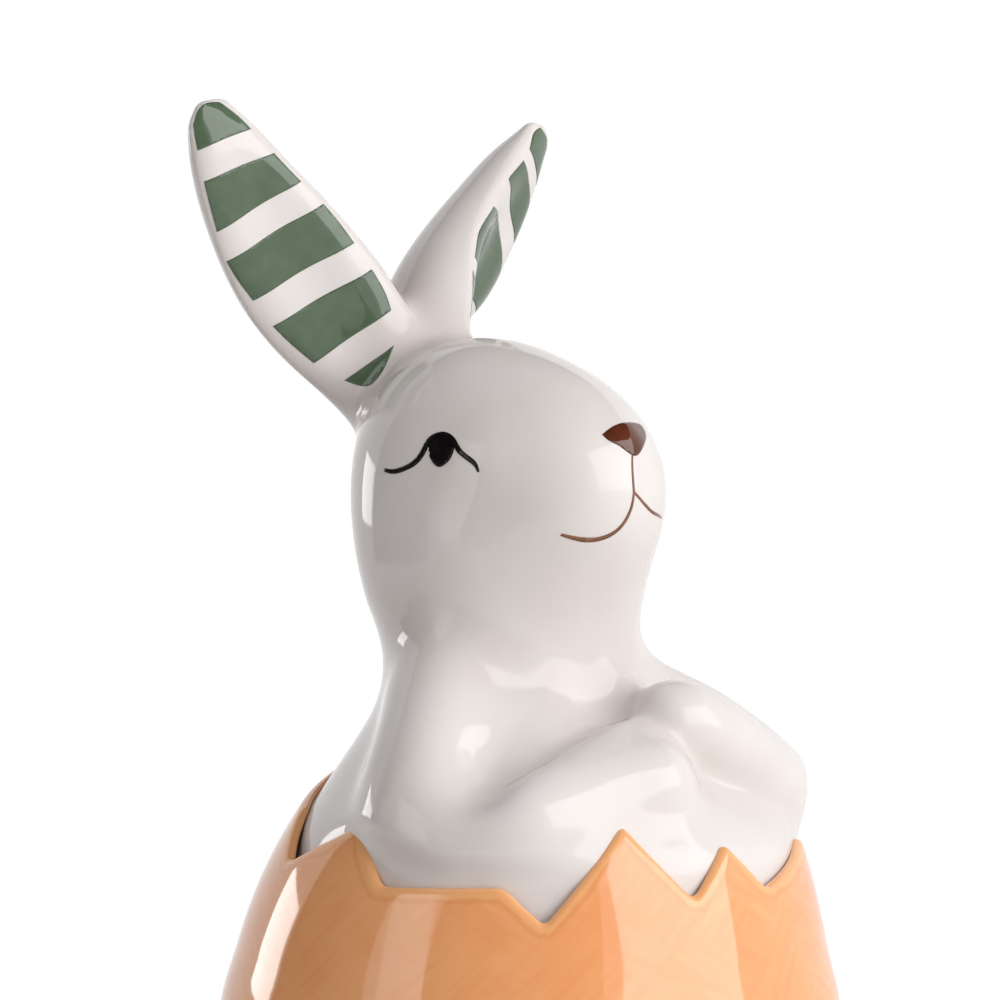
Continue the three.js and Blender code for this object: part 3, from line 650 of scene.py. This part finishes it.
def meet(form, start, end):  # where lines from outside to inside enter a form
    outside, inside = np.zeros(len(start)), np.ones(len(start))
    for _ in range(paint["halvings"]):
        middle = (outside + inside) / 2
        entered = form(start + middle[:, None] * (end - start)) < 0
        inside = np.where(entered, middle, inside)
        outside = np.where(entered, outside, middle)
    return start + inside[:, None] * (end - start)


def onFront(flat):
    start = np.stack([flat[:, 0], np.full(len(flat), -paint["reach"]), flat[:, 1]], 1)
    end = start.copy()
    end[:, 1] = head["muzzle"][0][1]
    return meet(hareForm, fromHead(start), fromHead(end))


def onSide(side):
    def place(flat):
        start = np.stack([np.full(len(flat), paint["reach"] * mirrored(side)[0]), flat[:, 0], flat[:, 1]], 1)
        end = start.copy()
        end[:, 0] = 0
        return meet(hareForm, fromHead(start), fromHead(end))
    return place


def onEar(side):
    def place(flat):
        ends = []
        for out in paint["earReach"]:
            own = np.concatenate([flat, np.full((len(flat), 1), out)], 1)
            ends.append(fromHead(fromEar(own, side)))
        return meet(hareForm, *ends)
    return place


def smoothPath(path, count):  # points spaced evenly on a soft curve through a path
    path = np.array(path, float)
    way = np.concatenate([[0], np.cumsum(np.linalg.norm(np.diff(path, axis=0), axis=1))])
    curves = [softCurve(np.stack([way, path[:, i]], 1)) for i in (0, 1)]
    at = np.linspace(0, way[-1], count)
    return np.stack([curve(at) for curve in curves], 1)


def brushLine(path, widths, count=72):  # outline of a brush stroke
    line = smoothPath(path, count)
    ahead = np.gradient(line, axis=0)
    sideways = np.stack([-ahead[:, 1], ahead[:, 0]], 1) / np.linalg.norm(ahead, axis=1, keepdims=True)
    half = np.interp(np.linspace(0, 1, count), np.linspace(0, 1, len(widths)), widths)[:, None] / 2
    return np.concatenate([line + sideways * half, (line - sideways * half)[::-1]])


def fillOutlines(outlines):  # triangles over the union of flat outlines, with a grain of points inside
    flat = np.concatenate(outlines)
    low, high = flat.min(0), flat.max(0)
    grain = paint["grain"]
    xs, ys = np.arange(low[0], high[0], grain), np.arange(low[1], high[1], grain * paint["grainRow"])
    spread = [(x + (grain / 2 if row % 2 else 0), y) for row, y in enumerate(ys) for x in xs]
    loops, start = [], 0
    for outline in outlines:
        loops.append(list(range(start, start + len(outline))))
        start += len(outline)
    points = [Vector(p) for p in flat.tolist()] + [Vector(p) for p in spread]
    verts, _, faces, _, _, _ = delaunay_2d_cdt(points, [], loops, 1, 1e-5)
    return np.array([tuple(v) for v in verts]), np.array([tuple(f) for f in faces])


def layer(outlines, place):  # closed skin of paint: top, underside and the wall between them
    flat, tops = fillOutlines(outlines)
    used = np.unique(tops)
    number = np.full(len(flat), -1)
    number[used] = np.arange(len(used))
    flat, tops = flat[used], number[tops]
    points = place(flat)
    normal = outwards(hareForm, points)
    count = len(points)
    facing = np.cross(points[tops[:, 1]] - points[tops[:, 0]], points[tops[:, 2]] - points[tops[:, 0]])
    if (facing * normal[tops[:, 0]]).sum() < 0:
        tops = tops[:, ::-1]
    edges = np.concatenate([tops[:, [0, 1]], tops[:, [1, 2]], tops[:, [2, 0]]])
    known = set(map(tuple, edges.tolist()))
    rim = [(a, b) for a, b in known if (b, a) not in known]
    walls = [(b, a, a + count, b + count) for a, b in rim]
    faces = tops.tolist() + (tops[:, ::-1] + count).tolist() + walls
    both = np.concatenate([points + paint["lift"] * normal, points - paint["sink"] * normal])
    return both, faces


def addPaint(name, outlines, place, material, slotName, node):
    points, faces = layer(outlines, place)
    settle(addPiece(name, points, faces, material), slotName, node)


def stripeOutline(band, side):
    low, high = band
    length = earAxes(side)[1]
    outerLimit, innerLimit = softCurve(stripes[side]["outer"]), softCurve(stripes[side]["inner"])
    edges = []
    for shares in (low, high):
        outerEnd, innerEnd = -outerLimit(shares[0]), innerLimit(shares[-1])
        half = len(shares) // 2 + 1  # the middle share lies on the ear's axis
        spots = np.concatenate([np.linspace(outerEnd, 0, half), np.linspace(0, innerEnd, half)[1:]])
        across = np.linspace(outerEnd, innerEnd, paint["edgePoints"])
        edges.append(np.stack([softCurve(list(zip(spots, shares)))(across) * length, across], 1))
    inner = np.linspace(low[-1], high[-1], paint["endPoints"])[1:-1]
    outer = np.linspace(high[0], low[0], paint["endPoints"])[1:-1]
    innerSide = np.stack([inner * length, innerLimit(inner)], 1)
    outerSide = np.stack([outer * length, -outerLimit(outer)], 1)
    return np.concatenate([edges[0], innerSide, edges[1][::-1], outerSide])


def makePaint():
    pupil = smoothPath(face["pupil"] + face["pupil"][:1], face["pupilPoints"])[:-1]
    lash = brushLine(face["lash"], face["lashWidths"])
    nose = smoothPath(face["nose"] + face["nose"][:1], face["nosePoints"])[:-1]
    smile = face["smileWidth"]
    thin, start, end = (face[name] * smile for name in ("leftShare", "startShare", "endShare"))
    mouth = [brushLine(face["philtrum"], [face["philtrumWidth"], thin])]
    for part, width in (("smileRight", smile), ("smileLeft", thin)):
        mouth.append(brushLine(face[part], [start, width, width, width, end]))
    addPaint("noseEnamel", [nose], onFront, "brownEnamel", "brown_enamel", "nose_enamel")
    addPaint("mouthEnamel", mouth, onFront, "brownLine", "brown_enamel", "mouth_enamel")
    for side in bothSides:
        addPaint(side + "Eye", [pupil, lash], onSide(side), "blackEnamel",
                 "black_enamel", side + "_eye_enamel")
        for i, band in enumerate(stripes[side]["bands"], 1):
            addPaint(f"{side}Stripe{i}", [stripeOutline(band, side)], onEar(side), "sageEnamel",
                     "sage_enamel", f"{side}_ear_stripe_{i}")


makePaint()
print("enamel painted")

# egg shell, shaped by a node tree from a closed ring of columns
egg = {
    "radius": 54, "waist": 52, "crown": 78, "foot": 32, "wall": 1.9, "rimBase": 85, "rimSpan": 22,
    "columns": 800, "outerRows": 52, "rimRows": 10, "innerRows": 24, "soften": 0.0013,
    "outerFoot": 1.2, "innerFoot": 8, "ring": 6, "recess": 1.5, "floor": 5.5, "floorRadius": 28, "vent": 9,
    "rimShare": 0.85, "noEdge": 50,  # rim's radius over the widest, and too far off for an edge to show
    # degrees from the chest towards the hare's left, height of each corner of the broken edge
    "corners": [(-144, 105), (-117, 99.6), (-103.8, 92), (-81.8, 99.9), (-69.8, 90.7), (-42.8, 91.5),
                (-33.8, 85.7), (-18, 101), (-2, 88.7), (8.5, 96.9), (19.2, 89.1), (49, 94.6), (66, 88.5),
                (84, 99), (102, 89), (122, 100), (143, 90), (164, 101)],
    "seam": 92,  # height at the back, where the ends of the list meet
    "slim": 0.8, "slimFrom": 66, "slimTo": 77,  # the shoulder of the egg is a little slimmer
    "leanRate": 0.00178, "leanFrom": 62, "leanTo": 55,  # and leans towards this turn
}
eggInputs = ("radius", "waist", "crown", "wall", "rimBase", "rimSpan", "soften")
eggMarks = ("turn", "climb", "over", "low", "wall")


def eggBlank():  # rows up the wall, over the rim, down inside and over the base, with marks of their places
    rows = []
    for climb in np.linspace(0, 1, egg["outerRows"]):
        rows.append(("wall", climb, 0, egg["outerFoot"]))
    for over in np.linspace(0, math.pi, egg["rimRows"] + 1)[1:-1]:
        rows.append(("wall", 1, over, egg["outerFoot"]))
    for climb in np.linspace(1, 0, egg["innerRows"]):
        rows.append(("wall", climb, math.pi, egg["innerFoot"]))
    foot, inside = egg["foot"], egg["foot"] - egg["ring"]
    vent, floor, recess = egg["vent"], egg["floor"], egg["recess"]
    base = [(egg["floorRadius"], floor + 0.6), (vent + 1, floor), (vent, floor - 1),
            (vent, recess + 1), (vent + 1, recess), (inside - 1, recess),
            (inside, recess - 0.5), (inside + 0.6, 0), (foot - 1.2, 0), (foot - 0.2, 0.35)]  # soft corners
    rows += [("base", radius, height, 0) for radius, height in base]
    columns = egg["columns"]
    turn = np.arange(columns) / columns
    angle = turn * 2 * math.pi - math.pi
    points, marks = [], {name: [] for name in eggMarks}
    for kind, a, b, low in rows:
        wall = kind == "wall"
        radius, height = (egg["radius"], 0) if wall else (a, b)
        heights = np.full(columns, height)
        points.append(np.stack([radius * np.sin(angle), -radius * np.cos(angle), heights], 1))
        for name, value in zip(eggMarks, (turn, a if wall else 0, b if wall else 0, low, wall)):
            marks[name].append(np.broadcast_to(value, columns))
    count = len(rows)
    here = np.arange(count)[:, None] * columns
    above = (np.arange(count)[:, None] + 1) % count * columns
    column, following = np.arange(columns), (np.arange(columns) + 1) % columns
    faces = np.stack([here + column, here + following, above + following, above + column], -1).reshape(-1, 4)
    marks = {name: np.concatenate(value).astype(float) for name, value in marks.items()}
    return np.concatenate(points), faces, marks


def rimCurve(tree, turn):  # height share of the broken edge at a turn
    node = addNode(tree, "ShaderNodeFloatCurve")
    ends = [(share, egg["seam"]) for share in (0.0, 1.0)]
    corners = [((degrees + 180) / 360, height) for degrees, height in egg["corners"]]
    low, span = egg["rimBase"], egg["rimSpan"]
    curve = node.mapping.curves[0]
    places = [ends[0]] + corners + [ends[1]]
    while len(curve.points) < len(places):
        curve.points.new(0.5, 0.5)
    for point, (share, height) in zip(curve.points, places):
        point.location = (share, (height - low) / span)
        point.handle_type = "VECTOR"
    node.mapping.update()
    tree.links.new(calc(tree, "FRACT", turn), node.inputs["Value"])
    return node.outputs[0]


def eggTree():
    tree = bpy.data.node_groups.new("eggShellTree", "GeometryNodeTree")
    sums = partial(calc, tree)
    tree.interface.new_socket("Geometry", in_out="INPUT", socket_type="NodeSocketGeometry")
    tree.interface.new_socket("Geometry", in_out="OUTPUT", socket_type="NodeSocketGeometry")
    for size in eggInputs + ("lower",):
        tree.interface.new_socket(size, in_out="INPUT", socket_type="NodeSocketFloat")
    start = addNode(tree, "NodeGroupInput").outputs
    mark = {}
    for name in eggMarks:
        node = addNode(tree, "GeometryNodeInputNamedAttribute", data_type="FLOAT")
        node.inputs["Name"].default_value = name
        mark[name] = node.outputs["Attribute"]
    around = (-2.0, -1.0, 0.0, 1.0, 2.0)  # turns on either side, whose mean rounds the corners
    steps = [sums("MULTIPLY_ADD", start["soften"], k, mark["turn"]) for k in around]
    samples = [rimCurve(tree, sums("ADD", step, 1.0)) for step in steps]
    total = samples[0]
    for sample in samples[1:]:
        total = sums("ADD", total, sample)
    mean = sums("DIVIDE", total, float(len(around)))
    rim = sums("MULTIPLY_ADD", mean, start["rimSpan"], start["rimBase"])
    rise = sums("MULTIPLY", sums("SUBTRACT", samples[-1], samples[0]), start["rimSpan"])
    turned = sums("MULTIPLY", start["soften"], (around[-1] - around[0]) * 2 * math.pi * egg["rimShare"])
    run = sums("MULTIPLY", turned, start["radius"])
    steepness = sums("POWER", sums("DIVIDE", rise, run), 2.0)
    lean = sums("SQRT", sums("ADD", steepness, 1.0))
    half = sums("DIVIDE", start["wall"], 2.0)
    reach = sums("MULTIPLY", half, lean)
    centre = sums("SUBTRACT", rim, reach)
    way = sums("SUBTRACT", centre, mark["low"])
    climbed = sums("MULTIPLY_ADD", mark["climb"], way, mark["low"])
    height = sums("MULTIPLY_ADD", sums("SINE", mark["over"]), reach, climbed)
    above = sums("SUBTRACT", height, start["waist"])
    upper = sums("GREATER_THAN", above, 0.0)
    taller = sums("SUBTRACT", start["crown"], start["lower"])
    span = sums("MULTIPLY_ADD", upper, taller, start["lower"])
    square = sums("POWER", sums("DIVIDE", above, span), 2.0)
    surface = sums("MULTIPLY", start["radius"], sums("SQRT", sums("SUBTRACT", 1.0, square)))
    slim = ramp(tree, height, egg["slimFrom"], egg["slimTo"], 0.0, egg["slim"])
    middle = sums("SUBTRACT", sums("SUBTRACT", surface, slim), half)
    radius = sums("MULTIPLY_ADD", sums("COSINE", mark["over"]), half, middle)
    angle = sums("MULTIPLY_ADD", mark["turn"], 2 * math.pi, -math.pi)
    leaning = sums("MAXIMUM", sums("SUBTRACT", height, egg["leanFrom"]), 0.0)
    tilt = sums("POWER", leaning, 2.0)
    leanTo = math.radians(egg["leanTo"])
    x = sums("MULTIPLY", radius, sums("SINE", angle))
    x = sums("MULTIPLY_ADD", tilt, egg["leanRate"] * math.sin(leanTo), x)
    y = sums("MULTIPLY", sums("MULTIPLY", radius, sums("COSINE", angle)), -1.0)
    y = sums("MULTIPLY_ADD", tilt, -egg["leanRate"] * math.cos(leanTo), y)
    place = addNode(tree, "ShaderNodeCombineXYZ", x, y, height).outputs[0]
    small = addNode(tree, "ShaderNodeVectorMath", place, operation="SCALE")
    small.inputs["Scale"].default_value = mm
    move = addNode(tree, "GeometryNodeSetPosition")
    tree.links.new(start["Geometry"], move.inputs["Geometry"])
    tree.links.new(sums("GREATER_THAN", mark["wall"], 0.5), move.inputs["Selection"])
    tree.links.new(small.outputs[0], move.inputs["Position"])
    geometry = move.outputs[0]
    below = sums("DIVIDE", sums("SUBTRACT", centre, climbed), lean)
    base = sums("SUBTRACT", 1.0, mark["wall"])
    wallBelow = sums("ADD", below, sums("MULTIPLY", base, egg["noEdge"]))
    inner = sums("GREATER_THAN", mark["over"], math.pi * 0.7)
    for name, value in (("edge", wallBelow), ("inner", inner)):
        store = addNode(tree, "GeometryNodeStoreNamedAttribute", data_type="FLOAT", domain="POINT")
        tree.links.new(geometry, store.inputs["Geometry"])
        store.inputs["Name"].default_value = name
        fill(tree, store.inputs["Value"], value)
        geometry = store.outputs[0]
    real = addNode(tree, "GeometryNodeRealizeInstances", geometry).outputs[0]
    paintNode = addNode(tree, "GeometryNodeSetMaterial")
    tree.links.new(real, paintNode.inputs["Geometry"])
    paintNode.inputs["Material"].default_value = materials["apricotGlaze"]
    end = addNode(tree, "NodeGroupOutput")
    tree.links.new(paintNode.outputs[0], end.inputs["Geometry"])
    return tree


def makeEgg():
    points, faces, marks = eggBlank()
    mesh = bpy.data.meshes.new("eggBlank")
    mesh.from_pydata((points * mm).tolist(), [], faces.tolist())
    for name, value in marks.items():
        mesh.attributes.new(name, "FLOAT", "POINT").data.foreach_set("value", value)
    blank = addObject("eggBlank", mesh)
    tree = eggTree()
    sizes = {name: float(egg[name]) for name in eggInputs}
    sizes["lower"] = egg["waist"] / math.sqrt(1 - (egg["foot"] / egg["radius"]) ** 2)
    modifier = blank.modifiers.new("eggShell", "NODES")
    modifier.node_group = tree
    for item in tree.interface.items_tree:
        if item.item_type == "SOCKET" and item.in_out == "INPUT" and item.name in sizes:
            modifier[item.identifier] = sizes[item.name]
    blank.update_tag()
    ready = blank.evaluated_get(bpy.context.evaluated_depsgraph_get())
    shell = bpy.data.meshes.new_from_object(ready)
    blank.modifiers.clear()
    bpy.data.objects.remove(blank)
    for name in marks:
        shell.attributes.remove(shell.attributes[name])
    shell.name = "eggShell"
    shell.shade_smooth()
    settle(addObject("eggShell", shell), "apricot_glaze", "egg_shell")
    print("egg shell:", len(shell.polygons), "faces")


makeEgg()

# floor, backdrop and lamps
studio = {
    "aim": (0, 0, 130), "fill": 0.26, "floorSize": 6000, "floorColour": (0.78, 0.77, 0.76, 1),
    "shadowReach": (120, 330), "matt": 0.9,
    # azimuth from the camera's side towards its right, elevation, distance, size, radiance and roll
    "lamps": {
        "keyBox": (60, 24, 900, (850, 650), 3.0, 0),
        "leftStrip": (-53, 20, 900, (280, 760), 1.0, 14),
        "rimStrip": (-121, 6, 800, (240, 160), 4.8, 0),
        "frontFill": (45, 18, 1000, (700, 700), 1.8, 0),
        "topFill": (0, 75, 1000, (700, 700), 0.4, 0),
    },
    "unseen": ("frontFill", "topFill"),  # lamps that leave no reflection
    "cards": {"sideCard": (-66, -110), "frontCard": (26, -42)},  # azimuths of the upright ends
    "card": {"distance": 620, "low": 30, "high": 620, "ceiling": 700, "ceilingSize": 1200,
             "colour": (0.02, 0.02, 0.02, 1)},
}


def seenWhite(tree):  # 1 for rays that see the studio directly or in a gloss
    path = addNode(tree, "ShaderNodeLightPath").outputs
    seen = calc(tree, "MAXIMUM", path["Is Camera Ray"], path["Is Glossy Ray"])
    return calc(tree, "MAXIMUM", seen, path["Is Transmission Ray"])


def mattMaterial(name, colour):
    material = bpy.data.materials.new(name)
    material.use_nodes = True
    shader = material.node_tree.nodes["Principled BSDF"]
    shader.inputs["Base Color"].default_value = colour
    shader.inputs["Roughness"].default_value = studio["matt"]
    return material, material.node_tree, shader


def addSheet(name, corners, material):
    mesh = bpy.data.meshes.new(name)
    mesh.from_pydata([tuple(part * mm for part in corner) for corner in corners], [], [(0, 1, 2, 3)])
    mesh.materials.append(material)
    sheet = addObject(name, mesh)
    return sheet


def squareAt(size, height):
    half = size / 2
    return [(-half, -half, height), (half, -half, height), (half, half, height), (-half, half, height)]


def makeFloor():
    material, tree, shader = mattMaterial("floorPaper", studio["floorColour"])
    where = addNode(tree, "ShaderNodeTexCoord").outputs["Object"]
    away = addNode(tree, "ShaderNodeVectorMath", where, operation="LENGTH").outputs["Value"]
    near, far = (reach * mm for reach in studio["shadowReach"])
    share = calc(tree, "MULTIPLY", ramp(tree, away, near, far), seenWhite(tree))
    glow = addNode(tree, "ShaderNodeEmission")
    mix = addNode(tree, "ShaderNodeMixShader", share, shader.outputs[0], glow.outputs[0])
    tree.links.new(mix.outputs[0], tree.nodes["Material Output"].inputs["Surface"])
    addSheet("floor", squareAt(studio["floorSize"], 0), material)


def makeWorld():
    world = bpy.data.worlds.new("studio")
    bpy.context.scene.world = world
    world.use_nodes = True
    tree = world.node_tree
    soft = tree.nodes["Background"]
    soft.inputs["Color"].default_value = (1, 1, 1, 1)
    soft.inputs["Strength"].default_value = studio["fill"]
    white = addNode(tree, "ShaderNodeBackground", (1, 1, 1, 1), 1.0)
    mix = addNode(tree, "ShaderNodeMixShader", seenWhite(tree), soft.outputs[0], white.outputs[0])
    tree.links.new(mix.outputs[0], tree.nodes["World Output"].inputs["Surface"])


def levelWay(azimuth):  # level direction from the object
    right, _, ahead = shotAxes()
    away = Vector((ahead.x, ahead.y, 0)).normalized()
    return right * math.sin(math.radians(azimuth)) - away * math.cos(math.radians(azimuth))


def makeLamps():
    aim = Vector(studio["aim"])
    for name, (azimuth, elevation, distance, size, radiance, roll) in studio["lamps"].items():
        way = levelWay(azimuth) * math.cos(math.radians(elevation))
        way.z = math.sin(math.radians(elevation))
        data = bpy.data.lights.new(name, "AREA")
        data.shape = "RECTANGLE"
        data.size, data.size_y = (side * mm for side in size)
        data.energy = radiance * math.pi * data.size * data.size_y
        box = addObject(name, data)
        facing = way.to_track_quat("Z", "Y").to_matrix() @ Matrix.Rotation(math.radians(roll), 3, "Z")
        box.matrix_world = facing.to_4x4()
        box.location = (aim + way * distance) * mm
        box.visible_camera = False
        box.visible_glossy = name not in studio["unseen"]


def makeCards():  # black cards, seen only in the gloss
    card = studio["card"]
    material, _, _ = mattMaterial("blackCard", card["colour"])
    places = {"ceilingCard": squareAt(card["ceilingSize"], card["ceiling"])}
    for name, ends in studio["cards"].items():
        first, last = (levelWay(end) * card["distance"] for end in ends)
        places[name] = [(first.x, first.y, card["low"]), (last.x, last.y, card["low"]),
                        (last.x, last.y, card["high"]), (first.x, first.y, card["high"])]
    for name, corners in places.items():
        sheet = addSheet(name, corners, material)
        for sees in ("camera", "diffuse", "transmission", "shadow"):
            setattr(sheet, "visible_" + sees, False)


makeFloor()
makeWorld()
makeLamps()
makeCards()
bpy.context.scene.view_settings.view_transform = "Standard"
print("studio lit:", len(studio["lamps"]), "lamps")
